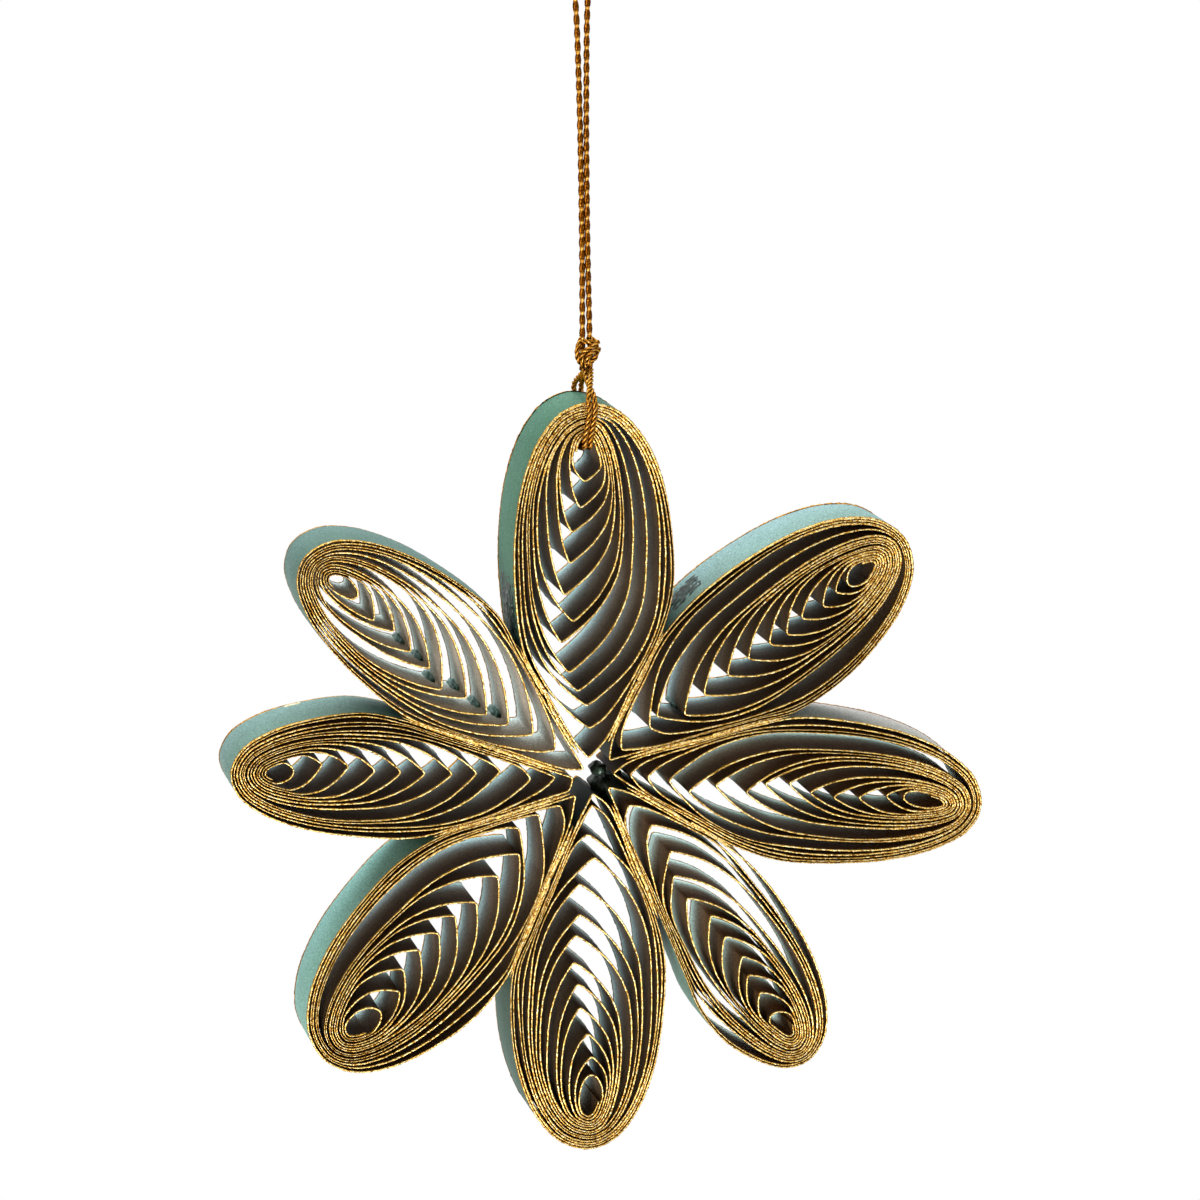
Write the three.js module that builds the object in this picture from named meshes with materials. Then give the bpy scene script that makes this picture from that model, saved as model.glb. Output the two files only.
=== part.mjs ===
// A quilled paper snowflake: eight petals glued side by side around an open centre, hung on a gilt cord.
// Each petal is one paper strip wound into a teardrop coil: its turns are packed together at the outer tip
// and pinched to a point on the side of the flower's centre.
// Millimetres, +Z up, the face towards -Y. The origin is where the cord's loop hangs.

import * as THREE from "three";

// Paper strip
const stripWidth = 7;
const paperThickness = 0.16;
const turnGap = 0.07;
const seamGap = 0.24;

// Form of a turn: where between its pinch and its tip it is widest, and how sharp its tip is.
const widestShare = 0.57;
const tipSharpness = 0.95;
const sideSegments = 9;

// The strip's free ends: how far along the side of a turn each one lies, from the tip to the pinch.
const innerEndShare = 0.42;
const outerEndShare = 0.78;

// Cord
const cordDiameter = 0.57;
const cordGap = 0.28;
const strandGap = 0.12;
const knotAcross = -0.63;
const frontAcross = -0.15;
const backAcross = -0.6;
const eyeAcross = 0.36;
const eyeDrop = 0.25;
const knotWidth = 1.9;
const knotDepth = 2;
const knotHeight = 2.7;
const knotRise = 4.3;
const loopRise = 41;
const loopWidth = 3.4;

// Facets of the cord
const cordSides = 8;
const loopSteps = 44;
const slingSteps = 17;
const knotSides = 12;
const knotRings = 8;

// Colours
const paperColour = 0x5f8f86;
const cordColour = 0x8a5a16;

// The petals, clockwise from the top. A heading and the seam to the petal on its left are in degrees from
// +X, seen from the front, and the seam passes the flower's centre on its left by the shift. Lengths along a
// petal start at the flower's centre, and widths at the petal's own axis, left positive. Fullness says how
// far the innermost and the outermost turn bulge towards the pinch, and a round eye leaves the innermost one
// unpinched. The other lists run from the innermost turn to the outermost: where each turn is pinched, along
// and across, and its spread to the left and right.
const petals = [
  {
    name: "petal_top",
    heading: 90.6,
    leftSeam: 118.2,
    seamShift: 0.36,
    reach: 36.6,
    tipAcross: 0.2,
    fullness: [2.5, 3.8],
    pinchAlong: [29.1, 26.6, 24.3, 21.2, 18.2, 15.6, 13.6, 10.6, 8.7, 7.2, 4.9, 2.1],
    pinchAcross: [0.6, 1.1, 2, 2.3, 2.9, 2.1, 3.3, 2.6, 1.8, 0.9, 0.7, 0.9],
    left: [1.8, 2, 3, 3.4, 4.4, 5.5, 5.7, 6.2, 6.4, 6.9, 7.2, 7.6],
    right: [1.3, 1.55, 1.8, 2.05, 2.3, 2.8, 3.05, 3.9, 5.3, 6.6, 7.1, 7.6],
  },
  {
    name: "petal_upper_right",
    roundEye: true,
    heading: 34.7,
    leftSeam: 62.3,
    seamShift: 0.63,
    reach: 37.7,
    tipAcross: 0.2,
    fullness: [2.5, 3.8],
    pinchAlong: [30.6, 29.1, 27.3, 25, 22.9, 21, 18.5, 15.9, 13, 10.3, 8, 6.9, 3.4, 1.4],
    pinchAcross: [0, 0.2, -0.2, 0.2, -0.2, 0.1, 0.2, 0.2, 0.1, -0.3, 1.3, 0.8, 0.8, 0.7],
    left: [1.4, 1.6, 1.9, 2.2, 3, 3.3, 3.6, 4, 4.2, 4.5, 5.9, 7.5, 8, 8.4],
    right: [1, 1.4, 1.8, 2, 2.6, 3, 3.3, 3.5, 3.8, 4.6, 4.8, 6.7, 7.1, 7.4],
  },
  {
    name: "petal_right",
    roundEye: true,
    heading: -8.1,
    leftSeam: 11.4,
    seamShift: 0.93,
    reach: 39.3,
    tipAcross: -0.5,
    fullness: [2.5, 3.8],
    pinchAlong: [31.1, 29.3, 26.5, 23.9, 21.5, 19.2, 16.8, 15, 11.8, 9.2, 7.1, 4.9, 3.1, 1.4],
    pinchAcross: [0.2, 0.1, -0.3, -0.4, -0.1, 0.7, 0.5, -0.5, 0, -0.8, 0.2, 0.4, 0.5, 0.5],
    left: [0.9, 1.1, 1.3, 1.6, 1.9, 3, 3.4, 3.7, 4.1, 4.3, 5.9, 6.2, 6.6, 7.2],
    right: [0.9, 1.3, 1.8, 2, 2.2, 2.5, 2.9, 3.3, 4.5, 4.8, 5.7, 6.2, 6.5, 6.8],
  },
  {
    name: "petal_lower_right",
    roundEye: true,
    heading: -54.5,
    leftSeam: -32,
    seamShift: 0.36,
    reach: 37.2,
    tipAcross: -0.6,
    fullness: [2.5, 3.8],
    pinchAlong: [30.8, 28.1, 25.9, 23.9, 21.2, 18.5, 15.5, 12.8, 10.5, 7.2, 4.2, 1.4],
    pinchAcross: [-0.7, -0.3, -0.2, 0.5, 0.3, 0.5, -0.3, 0, 1.2, 1.3, 0.7, 0.2],
    left: [0.9, 1.2, 1.9, 2.2, 2.6, 2.9, 3, 3.7, 5.1, 5.5, 5.8, 6.7],
    right: [1.7, 1.9, 2.2, 2.4, 2.7, 2.9, 3.2, 4.2, 4.5, 4.8, 5.2, 6.6],
  },
  {
    name: "petal_bottom",
    roundEye: true,
    heading: -92,
    leftSeam: -68.4,
    seamShift: 0.06,
    reach: 37.6,
    tipAcross: 0,
    fullness: [2.5, 3.8],
    pinchAlong: [30, 28.1, 25.7, 23, 20.7, 18.4, 15.7, 13.6, 10.5, 7.9, 5.6, 2.6, 1.5],
    pinchAcross: [0, 0, -0.5, -1.3, -1.5, -2, -1.9, -1.5, -1.6, -0.2, -0.9, -0.6, -0.5],
    left: [1.3, 1.7, 1.9, 2.2, 2.6, 2.9, 3.9, 4.6, 4.9, 5.8, 6.4, 6.8, 7.1],
    right: [1.2, 1.6, 2.2, 3, 3.5, 4.5, 5.3, 5.6, 6.1, 6.4, 7, 7.4, 8],
  },
  {
    name: "petal_lower_left",
    roundEye: true,
    heading: -136.4,
    leftSeam: -113.8,
    seamShift: -0.59,
    reach: 37.8,
    tipAcross: -0.1,
    fullness: [2.5, 3.8],
    pinchAlong: [30.7, 28, 26.2, 23.8, 21.4, 19.1, 16.7, 13.5, 10.5, 8.8, 6.5, 4.4, 2],
    pinchAcross: [0.5, 0.6, -0.7, -0.9, -0.7, -0.7, -0.1, -0.4, -0.4, -2.3, -1.8, -0.8, -0.4],
    left: [1.6, 2, 2.2, 2.7, 3, 3.9, 4.4, 4.6, 4.9, 5.2, 6, 7.1, 8.1],
    right: [1.2, 1.9, 2.9, 3.4, 3.9, 4.2, 4.4, 5, 5.2, 7.4, 7.7, 8, 8.3],
  },
  {
    name: "petal_left",
    roundEye: true,
    heading: 174.9,
    leftSeam: -166.3,
    seamShift: 0.58,
    reach: 35.7,
    tipAcross: 0,
    fullness: [2.5, 3.8],
    pinchAlong: [29.7, 27, 24.4, 21.8, 19.4, 17, 14.3, 12, 9.6, 6.7, 4.2, 1.3],
    pinchAcross: [-0.2, -1, -0.8, -0.4, -0.3, -0.2, -0.2, -0.3, -0.5, 0.2, 0, 0.1],
    left: [1, 1.6, 2.1, 2.5, 2.7, 2.9, 3.4, 4.5, 4.8, 5.2, 5.5, 6.1],
    right: [1.2, 2, 2.3, 2.6, 2.9, 3.3, 3.7, 3.9, 4.3, 4.8, 5.1, 5.8],
  },
  {
    name: "petal_upper_left",
    roundEye: true,
    heading: 139.5,
    leftSeam: 158,
    seamShift: 0.38,
    reach: 36.6,
    tipAcross: 0.4,
    fullness: [2.1, 3.1],
    pinchAlong: [30.2, 27.4, 25.2, 22.6, 20.1, 17.9, 15.4, 12.7, 10.5, 7.9, 5.3, 1.6],
    pinchAcross: [0.3, 1.1, 0.7, 1.3, 1.5, 2.4, 1.6, 1.7, 1.2, 0.5, 0.4, 0.2],
    left: [1.1, 1.6, 1.9, 2.8, 3.2, 4.4, 4.7, 5, 5.3, 5.6, 6.1, 6.5],
    right: [0.6, 1.2, 1.5, 1.8, 2, 3, 3.3, 3.7, 4.5, 5.4, 6.1, 6.4],
  },
];

const pitch = paperThickness + turnGap;
const radians = THREE.MathUtils.degToRad;

// One side of a turn, from its pinch to its tip: round at the tip, and drawn in to a point at the pinch
// unless its fullness is zero.
function sideOfTurn(pinch, tip, widest, fullness) {
  const middle = THREE.MathUtils.lerp(pinch.x, tip.x, widestShare);
  const points = [];
  for (let i = 0; i <= sideSegments; i++) {
    const angle = Math.PI * (i / sideSegments - 0.5);
    const end = angle < 0 ? pinch : tip;
    const drawn = fullness > 0 ? 1 - Math.sin(-angle) ** fullness : Math.cos(angle);
    const spread = angle < 0 ? drawn : Math.cos(angle) ** tipSharpness;
    const along = middle + Math.abs(end.x - middle) * Math.sin(angle);
    const across = THREE.MathUtils.lerp(end.y, widest, spread);
    points.push(new THREE.Vector2(along, across));
  }
  return points;
}

// The straight walls of a side, each a normal facing away from the pole and its distance from the origin.
function wallsOf(side, pole) {
  return side.slice(1).map((end, i) => {
    const run = end.clone().sub(side[i]);
    const normal = new THREE.Vector2(run.y, -run.x).normalize();
    if (normal.dot(end) < normal.dot(pole)) normal.negate();
    return { normal, offset: normal.dot(end) };
  });
}

// The seam to a neighbour: a wall turned from the petal's axis, past the flower's centre by a shift.
function seamWall({ angle, shift }) {
  const outward = Math.sign(angle);
  const normal = new THREE.Vector2(-Math.sin(angle), Math.cos(angle)).multiplyScalar(outward);
  return { normal, offset: outward * shift - (seamGap + paperThickness) / 2 + pitch };
}

// A side with each point drawn towards the pole until it lies a pitch inside every wall.
function drawnIn(side, walls, pole) {
  return side.map((point) => {
    const ray = point.clone().sub(pole);
    let share = 1;
    for (const { normal, offset } of walls) {
      const facing = normal.dot(ray);
      if (facing > 0) share = Math.min(share, (offset - pitch - normal.dot(pole)) / facing);
    }
    return pole.clone().addScaledVector(ray, share);
  });
}

// Makes the end of one side and the end of another the same point, the nearer of the two to the pole.
function joinEnds(sideA, indexA, sideB, indexB, pole) {
  const nearer = sideA[indexA].distanceTo(pole) < sideB[indexB].distanceTo(pole);
  const shared = nearer ? sideA[indexA] : sideB[indexB];
  sideA[indexA] = shared;
  sideB[indexB] = shared;
}

// The middle line of a petal's strip from its inner end to its outer end, in the petal's own plane.
function coilLine(petal, leftSeam, rightSeam) {
  const turns = petal.pinchAlong.length;
  const last = turns - 1;
  const fullnessOf = (k) =>
    k === 0 && petal.roundEye ? 0 : THREE.MathUtils.lerp(petal.fullness[0], petal.fullness[1], k / last);
  const pinchOf = (k) => new THREE.Vector2(petal.pinchAlong[k], petal.pinchAcross[k]);
  const tipOf = (k) =>
    new THREE.Vector2(petal.reach - paperThickness / 2 - (last - k) * pitch, petal.tipAcross);
  const eyeAlong = (petal.pinchAlong[0] + tipOf(-1).x) / 2;
  const pole = new THREE.Vector2(eyeAlong, (petal.left[0] - petal.right[0]) / 2);

  // The outer end runs from the outermost tip part of the way down the right side.
  const outerWidest = -petal.right[last] - pitch;
  const outerSide = sideOfTurn(pinchOf(last), tipOf(last), outerWidest, fullnessOf(last));
  const outerEnd = drawnIn(
    outerSide.slice(Math.round(sideSegments * (1 - outerEndShare))),
    [seamWall(rightSeam)],
    pole,
  );

  // Each turn runs down its right side to the pinch and up its left side, just inside the turn around it.
  const lefts = [];
  const rights = [];
  let leftWalls = [seamWall(leftSeam)];
  let rightWalls = [seamWall(rightSeam), ...wallsOf(outerEnd, pole)];
  let sideAfter = outerEnd;
  for (let k = last; k >= 0; k--) {
    const fullness = fullnessOf(k);
    const freeLeft = sideOfTurn(pinchOf(k), tipOf(k), petal.left[k], fullness);
    const freeRight = sideOfTurn(pinchOf(k), tipOf(k - 1), -petal.right[k], fullness);
    const left = drawnIn(freeLeft, leftWalls, pole);
    const right = drawnIn(freeRight, rightWalls, pole);
    joinEnds(left, sideSegments, sideAfter, sideAfter.length - 1, pole);
    joinEnds(left, 0, right, 0, pole);
    leftWalls = wallsOf(left, pole);
    rightWalls = wallsOf(right, pole);
    sideAfter = right;
    lefts[k] = left;
    rights[k] = right;
  }

  // The inner end lies against the left side of the innermost turn.
  const innerWidest = petal.left[0] - pitch;
  const innerSide = sideOfTurn(pinchOf(0), tipOf(-1), innerWidest, fullnessOf(0));
  const innerEnd = drawnIn(innerSide.slice(Math.round(sideSegments * (1 - innerEndShare))), leftWalls, pole);
  joinEnds(innerEnd, innerEnd.length - 1, rights[0], rights[0].length - 1, pole);

  const line = [...innerEnd];
  for (let k = 0; k < turns; k++) {
    line.push(...rights[k].slice(0, -1).reverse(), ...lefts[k].slice(1));
  }
  line.push(...outerEnd.slice(0, -1).reverse());
  const eyeTop = innerEnd[innerEnd.length - 1];
  return { line, eyeTop };
}

// The outline of a strip seen on its edge: its middle line widened to the paper's thickness.
function stripOutline(line) {
  const half = paperThickness / 2;
  const normals = line.slice(1).map((end, i) => {
    const run = end.clone().sub(line[i]);
    return new THREE.Vector2(-run.y, run.x).normalize();
  });
  const sides = [1, -1].map((side) =>
    line.map((point, i) => {
      const before = normals[Math.max(i - 1, 0)];
      const after = normals[Math.min(i, normals.length - 1)];
      const mitre = before.clone().add(after).normalize();
      return point.clone().addScaledVector(mitre, (side * half) / mitre.dot(after));
    }),
  );
  return [...sides[0], ...sides[1].reverse()];
}

function paperMaterial() {
  return new THREE.MeshStandardMaterial({ color: paperColour, roughness: 0.55, metalness: 0.15 });
}

function cordMaterial() {
  return new THREE.MeshStandardMaterial({ color: cordColour, roughness: 0.35, metalness: 0.6 });
}

function named(name, geometry, material) {
  const mesh = new THREE.Mesh(geometry, material);
  mesh.name = name;
  return mesh;
}

const flower = new THREE.Group();
const coils = petals.map((petal, i) => {
  const next = petals[(i + 1) % petals.length];
  const leftSeamOf = ({ leftSeam, seamShift }) => {
    const turn = THREE.MathUtils.euclideanModulo(leftSeam - petal.heading + 180, 360) - 180;
    return { angle: radians(turn), shift: seamShift };
  };
  return coilLine(petal, leftSeamOf(petal), leftSeamOf(next));
});

petals.forEach((petal, i) => {
  const shape = new THREE.Shape(stripOutline(coils[i].line));
  const geometry = new THREE.ExtrudeGeometry(shape, { depth: stripWidth, bevelEnabled: false });
  const mesh = named(petal.name, geometry, paperMaterial());
  mesh.rotation.x = Math.PI / 2;
  mesh.position.y = stripWidth / 2;
  const turned = new THREE.Group();
  turned.rotation.y = -radians(petal.heading);
  turned.add(mesh);
  flower.add(turned);
});

// The cord: folded in half, its two strands come down to a knot, pass behind the top petal's tip, forward
// through its eye and up to the knot again, where they are cut off.
const cordRadius = cordDiameter / 2;
const strandSpacing = cordDiameter + strandGap;
const topPetal = petals[0];
const topEye = coils[0].eyeTop;

// A place in the top petal's plane, in the flower's frame.
function inTopPetal(along, across, depth) {
  const heading = radians(topPetal.heading);
  return new THREE.Vector3(
    along * Math.cos(heading) - across * Math.sin(heading),
    depth,
    along * Math.sin(heading) + across * Math.cos(heading),
  );
}

function cordTube(points, steps) {
  const section = new THREE.Shape();
  section.absarc(0, 0, cordRadius, 0, 2 * Math.PI);
  const path = new THREE.CatmullRomCurve3(points, false, "centripetal");
  return new THREE.ExtrudeGeometry(section, { curveSegments: cordSides / 2, steps, extrudePath: path });
}

const knotAlong = topPetal.reach + knotRise;
const knot = inTopPetal(knotAlong, knotAcross, 0);
const knotHead = knot.z + knotHeight / 2 + cordGap;

// One strand of the sling, from the knot's front down to the eye, through it and up behind to the knot.
// Two strands lie side by side under the eye's round top, so they stay lower than one would, and lower by
// the drop's share of the eye's length where the eye is long and narrow.
function slingPoints(side) {
  const knotFoot = knotAlong - knotHeight / 2 - cordGap;
  const tip = topPetal.reach;
  const apart = (side * strandSpacing) / 2;
  const outside = stripWidth / 2 + cordGap + cordRadius;
  const eyeLength = topEye.x - topPetal.pinchAlong[0];
  const under = topEye.x - Math.max(cordGap + 1.7 * cordDiameter, eyeDrop * eyeLength);
  const half = (facing, across) => [
    inTopPetal(knotFoot, knotAcross + apart, (facing * strandSpacing) / 2),
    inTopPetal(tip + 1.7, (knotAcross + across) / 2 + apart, facing * (outside - 2.1)),
    inTopPetal(tip + 0.6, across + apart, facing * (outside - 0.4)),
    inTopPetal(tip - 0.8, across + apart, facing * outside),
    inTopPetal(under + 1.1, eyeAcross + apart, facing * outside),
    inTopPetal(under + 0.3, eyeAcross + apart, facing * (outside - 0.3)),
    inTopPetal(under, eyeAcross + apart, facing * (outside - 1.1)),
  ];
  return [...half(-1, frontAcross), ...half(1, backAcross).reverse()];
}

// The hanging loop, up one strand, over the top and down the other: how far from the middle, and how far
// above the knot or below the top.
function loopPoints() {
  const near = strandSpacing / 2;
  const half = (loopWidth - cordDiameter) / 2;
  const side = [
    [near, 0],
    [near, loopRise - 33],
    [near, loopRise - 24],
    [near + 0.07, loopRise - 16],
    [near + 0.28, loopRise - 9],
    [half - 0.3, loopRise - 5],
    [half, loopRise - 2.4],
    [0.75 * half, loopRise - 0.7],
  ];
  const right = side.map(([x, rise]) => new THREE.Vector3(knot.x + x, 0, knotHead + rise));
  const left = side.map(([x, rise]) => new THREE.Vector3(knot.x - x, 0, knotHead + rise));
  const top = new THREE.Vector3(knot.x, 0, knotHead + loopRise);
  return [...left, top, ...right.reverse()];
}

flower.add(named("cord_hanging_loop", cordTube(loopPoints(), loopSteps), cordMaterial()));
flower.add(named("cord_sling_left", cordTube(slingPoints(1), slingSteps), cordMaterial()));
flower.add(named("cord_sling_right", cordTube(slingPoints(-1), slingSteps), cordMaterial()));

const knotMesh = named("cord_knot", new THREE.SphereGeometry(0.5, knotSides, knotRings), cordMaterial());
knotMesh.scale.set(knotWidth, knotDepth, knotHeight);
knotMesh.position.copy(knot);
flower.add(knotMesh);

// The origin is on the inner side of the loop's top, where it hangs on a hook or a twig.
flower.position.set(-knot.x, 0, -(knotHead + loopRise - cordRadius));

const snowflake = new THREE.Group();
snowflake.add(flower);

export default snowflake;
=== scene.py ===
"""The looks of a quilled paper snowflake on its gilt cord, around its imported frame. Metres, face to -Y."""

import math

import bpy
import numpy as np
from mathutils import Matrix, Vector


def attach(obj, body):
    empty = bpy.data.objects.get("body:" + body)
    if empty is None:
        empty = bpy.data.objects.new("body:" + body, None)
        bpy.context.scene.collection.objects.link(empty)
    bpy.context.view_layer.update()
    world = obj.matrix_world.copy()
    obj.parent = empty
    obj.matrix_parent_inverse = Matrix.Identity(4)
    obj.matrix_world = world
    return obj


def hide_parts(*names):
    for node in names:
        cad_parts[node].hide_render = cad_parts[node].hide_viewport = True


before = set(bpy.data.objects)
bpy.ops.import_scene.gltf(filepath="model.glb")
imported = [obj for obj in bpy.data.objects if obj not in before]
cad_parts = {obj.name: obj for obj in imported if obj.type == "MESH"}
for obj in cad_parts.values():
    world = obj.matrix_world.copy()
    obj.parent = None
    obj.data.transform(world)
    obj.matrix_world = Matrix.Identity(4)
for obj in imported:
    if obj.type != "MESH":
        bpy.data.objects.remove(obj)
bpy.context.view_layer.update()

MM = 0.001
rng = np.random.default_rng(12)

# The flower's centre, and the camera that took the photo
FLOWER_CENTRE = np.array([-0.2017, 0.0, -83.2494]) * MM
CENTRE_XZ = FLOWER_CENTRE[[0, 2]]
CAMERA_AT = Vector((-95.01, -393.77, 25.76)) * MM
CAMERA_AIM = Vector((1.06, 0.0, -66.55)) * MM
CAMERA_ROLL = math.radians(-0.71)
CAMERA_LENS, CAMERA_SENSOR = 129.63, 36
CAMERA_NEAR = 10 * MM

# The petals, clockwise from the top
PETALS = ["petal_" + place for place in ("top", "upper_right", "right", "lower_right",
                                         "bottom", "lower_left", "left", "upper_left")]

# The record's material slots, and a strip's own materials in their order
PAPER_SLOT, CORD_SLOT = "gilt_edged_paper", "gilt_cord"
GILT, INSIDE, OUTSIDE = 0, 1, 2

# Paper strip
STRIP_WIDTH = 7 * MM
PAPER_HALF = 0.045 * MM
STRIP_STEP = 0.2 * MM
SPLINE_STEPS = 12
PINCH_TURN = math.radians(50)
PINCH_SOFTENINGS = 2

# Reading a packed petal: the depth of its front face, the distance at which points are one, how many points
# lie in its eye, tell its inner end from its outer one, and to each side of a point belong to the same turn
FACE_DEPTH = 0.01 * MM
SAME_PLACE = 0.001 * MM
EYE_POINTS, END_POINTS, OWN_POINTS = 20, 25, 6

# Turns beside each other: how far they slip, in waves of so many points, and half the gap that stays
TURN_SLIP, TURN_SLIP_MOST = 0.045 * MM, 0.06 * MM
SLIP_SPACING = 70
TURN_GAP = 0.012 * MM

# The room beside a strip up to which its middle swells until it all but touches, and from which it doesn't
PACKED_ROOM = [0.27 * MM, 0.36 * MM]

# Gilt edge: half its width, its grain, its rise and fall in waves of so many points, and where walls start
EDGE_HALF_LEAST, EDGE_HALF_MOST, EDGE_HALF_PACKED = 0.042 * MM, 0.085 * MM, 0.125 * MM
EDGE_GRAIN = 0.2
EDGE_LIFT, LIFT_SPACING = 0.05 * MM, 40
WALL_INSET = 0.2 * MM

# Section of a gilt edge, from the outward wall over its crown to the inward one: a share of its half width,
# millimetres below the strip's edge, and how much painted highlight it gets: pale on the crown, painted brown
# shade down the sides
EDGE_SECTION = [(1.0, 0.18, 0.0), (1.05, 0.02, 0.15), (0.55, -0.09, 1.0),
                (-0.55, -0.09, 1.0), (-1.05, 0.02, 0.15), (-1.0, 0.18, 0.0)]

# How much of the room between packed turns the gilding fills, from the flower's centre to the petals' tips,
# and how far that wanders in waves of so many points
FILL_REACH = [9 * MM, 18 * MM, 27 * MM, 32 * MM]
ROOT_FILL, FLANK_FILL = 0.82, 0.44
TIP_FILL = {"petal_top": 0.9, "petal_upper_right": 0.82, "petal_right": 0.78, "petal_lower_right": 0.7,
            "petal_bottom": 0.74, "petal_lower_left": 0.46, "petal_left": 0.56, "petal_upper_left": 0.46}
FILL_WANDER, FILL_SPACING = 0.12, 60

# The room in which gilding may be wide, merges and is painted darker for shade between packed turns, and how
# its shoulders look once merged
WIDE_ROOM = [0.26 * MM, 0.4 * MM]
MERGE_ROOM, MERGE_FILL, MERGE_SPAN = 0.3 * MM, 0.75, 0.3
MERGED_CROWN, MERGED_RISE = 0.5, 0.05
PAINTED_SHADE_ROOM = [0.26 * MM, 0.45 * MM]
PACKED_PAINTED_SHADE = 0.35

# Glue in the seams between petals: the widest seam it fills, near the centre and away from it, how far it is
# looked for and in what steps, and its half width, with a share of it at places along the seam
SEAM_REACH = [4 * MM, 8 * MM]
SEAM_ROOM = [0.8 * MM, 0.6 * MM]
SEAM_END, SEAM_STEP = 30 * MM, 0.5 * MM
SEAM_HALF = 0.17 * MM
SEAM_CLEARANCE = 0.04 * MM
SEAM_TAPER = [(0, 0.2), (0.12, 1), (0.85, 1), (1, 0.1)]
SEAM_WALL = 0.8

# Painted light: how much lighter or darker, and in what hue, some petals' strips are painted, outside and
# inside, for how light falls on each
NO_PAINTED_LIGHT = (1.0, 1.0, 1.0)
OUTER_PAINTED_LIGHT = {"petal_top": (0.45, 0.6, 0.46), "petal_left": (1.08, 0.92, 1.0),
              "petal_upper_left": (0.67, 0.62, 0.65), "petal_upper_right": (1.6, 1.28, 1.5),
              "petal_right": (3.4, 1.6, 1.8), "petal_lower_left": (1.5, 1.5, 1.6),
              "petal_bottom": (0.42, 0.4, 0.36)}
INNER_PAINTED_LIGHT = {"petal_right": (1.25, 1.2, 1.1), "petal_lower_right": (1.6, 1.5, 1.4)}

# Colours of a strip from its front edge to its back edge: outside, inside, and inside the petal painted paler
OUTER_STOPS = [(0.0, (0.135, 0.26, 0.19)), (1.0, (0.165, 0.3, 0.25))]
# Painted shade and highlight: the inside is dark brown at the front edge, where shade falls, and pale teal at
# the back edge, where light comes in from behind
INNER_SHADE_STOPS = [(0.0, (0.085, 0.047, 0.017)), (0.28, (0.14, 0.088, 0.045)), (0.5, (0.29, 0.235, 0.18)),
               (0.72, (0.39, 0.42, 0.41)), (1.0, (0.48, 0.66, 0.66))]
# Painted light: this petal's inside is painted pale all over, as if lit from below left
PAINTED_LIT_PETAL = "petal_upper_left"
PAINTED_LIT_STOPS = [(0.0, (0.49, 0.42, 0.34)), (0.5, (0.68, 0.64, 0.57)), (1.0, (0.74, 0.81, 0.78))]

# How far from the flower's centre glue stains the paper and painted shade darkens it, how strongly, and the
# paper's mottling and sheen
GLUE_AND_SHADE_REACH = 22 * MM
OUTER_STAIN_AND_SHADE = [(0.5, (0.2, 0.13, 0.08)), (0.72, (0.35, 0.4, 0.34)), (0.95, (1.0, 1.0, 1.0))]
INNER_STAIN_AND_SHADE = [(0.1, (0.95, 0.95, 0.95)), (0.9, (1.0, 1.0, 1.0))]
PAPER_PATCHES = [(0.3, (0.9, 0.91, 0.89)), (0.7, (1.08, 1.07, 1.1))]
PAPER_SPECKS = [(0.3, (0.5, 0.5, 0.5)), (0.7, (1.5, 1.5, 1.5))]
OUTER_SHEEN, INNER_SHEEN = 0.05, 0.015

# Cord: its thickness, its way through the top petal, its knot, its loop and its plies
CORD_RADIUS, LOOP_RADIUS, KNOT_CORD_RADIUS = 0.285 * MM, 0.305 * MM, 0.27 * MM
STRAND_SPACING = 0.69 * MM
FRONT_SPACING = 0.52 * MM
TOP_HEADING = math.radians(90.6)
TOP_REACH = 36.6 * MM
EYE_REACH, EYE_ACROSS = 32.3 * MM, 0.36 * MM
FRONT_ACROSS, BACK_ACROSS = -0.15 * MM, -0.6 * MM
STRIP_GAP = 0.28 * MM
KNOT_ALONG = 40.9 * MM
KNOT_ACROSS = -0.63 * MM
KNOT_HEIGHT = 2.7 * MM
KNOT_GAP = 0.28 * MM
LOOP_RISE = 41 * MM
LOOP_WIDTH = 3.4 * MM
LOOP_PLIES, LOOP_TWIST = 2, 2.46 * MM
SLING_PLIES, SLING_TWIST = 3, 1.75 * MM
PLY_SHARE = {2: 0.68, 3: 0.5}
PLY_SIDES = 8
CORD_STEP, KNOT_STEP = 0.13 * MM, 0.1 * MM
FRAME_START = [0.0, 1.0, 0.03]

# Painted glints: a tight cord's least and what its ridges add; where a slack cord's start and how fast they
# rise
RIDGE_GLINT = 0.06, 0.66
NIP_GLINT = 0.9, 12

# The strands in the knot, millimetres from its middle
KNOT_TURNS = [
    [(-0.3, 0.1, 1.45), (-0.75, -0.25, 0.85), (-0.95, -0.35, 0.1),
     (-0.8, -0.3, -0.7), (-0.3, -0.2, -1.2), (0.1, -0.1, -1.5)],
    [(0.35, 0.1, 1.5), (0.75, -0.3, 1.0), (0.95, -0.45, 0.2),
     (0.7, -0.5, -0.55), (0.1, -0.5, -0.95), (-0.5, -0.3, -0.6)],
    [(1.1, -0.55, 1.1), (0.45, -0.75, 0.6), (-0.1, -0.8, 0.35),
     (-0.5, -0.65, 0.0), (-0.55, -0.5, -0.5), (-0.2, -0.4, -1.1)],
    [(1.2, -0.5, 0.3), (0.5, -0.85, 0.15), (0.1, -0.9, -0.1),
     (-0.1, -0.8, -0.5), (0.1, -0.6, -1.0), (0.3, -0.3, -1.4)],
    [(0.3, 0.4, 1.3), (0.6, 0.55, 0.5), (0.3, 0.7, -0.2), (-0.3, 0.6, -0.5), (-0.3, 0.4, -1.2)],
    [(-0.5, 0.1, 1.1), (-0.1, -0.5, 1.1), (0.4, -0.55, 1.0), (0.75, 0.0, 0.8)],
]

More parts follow.
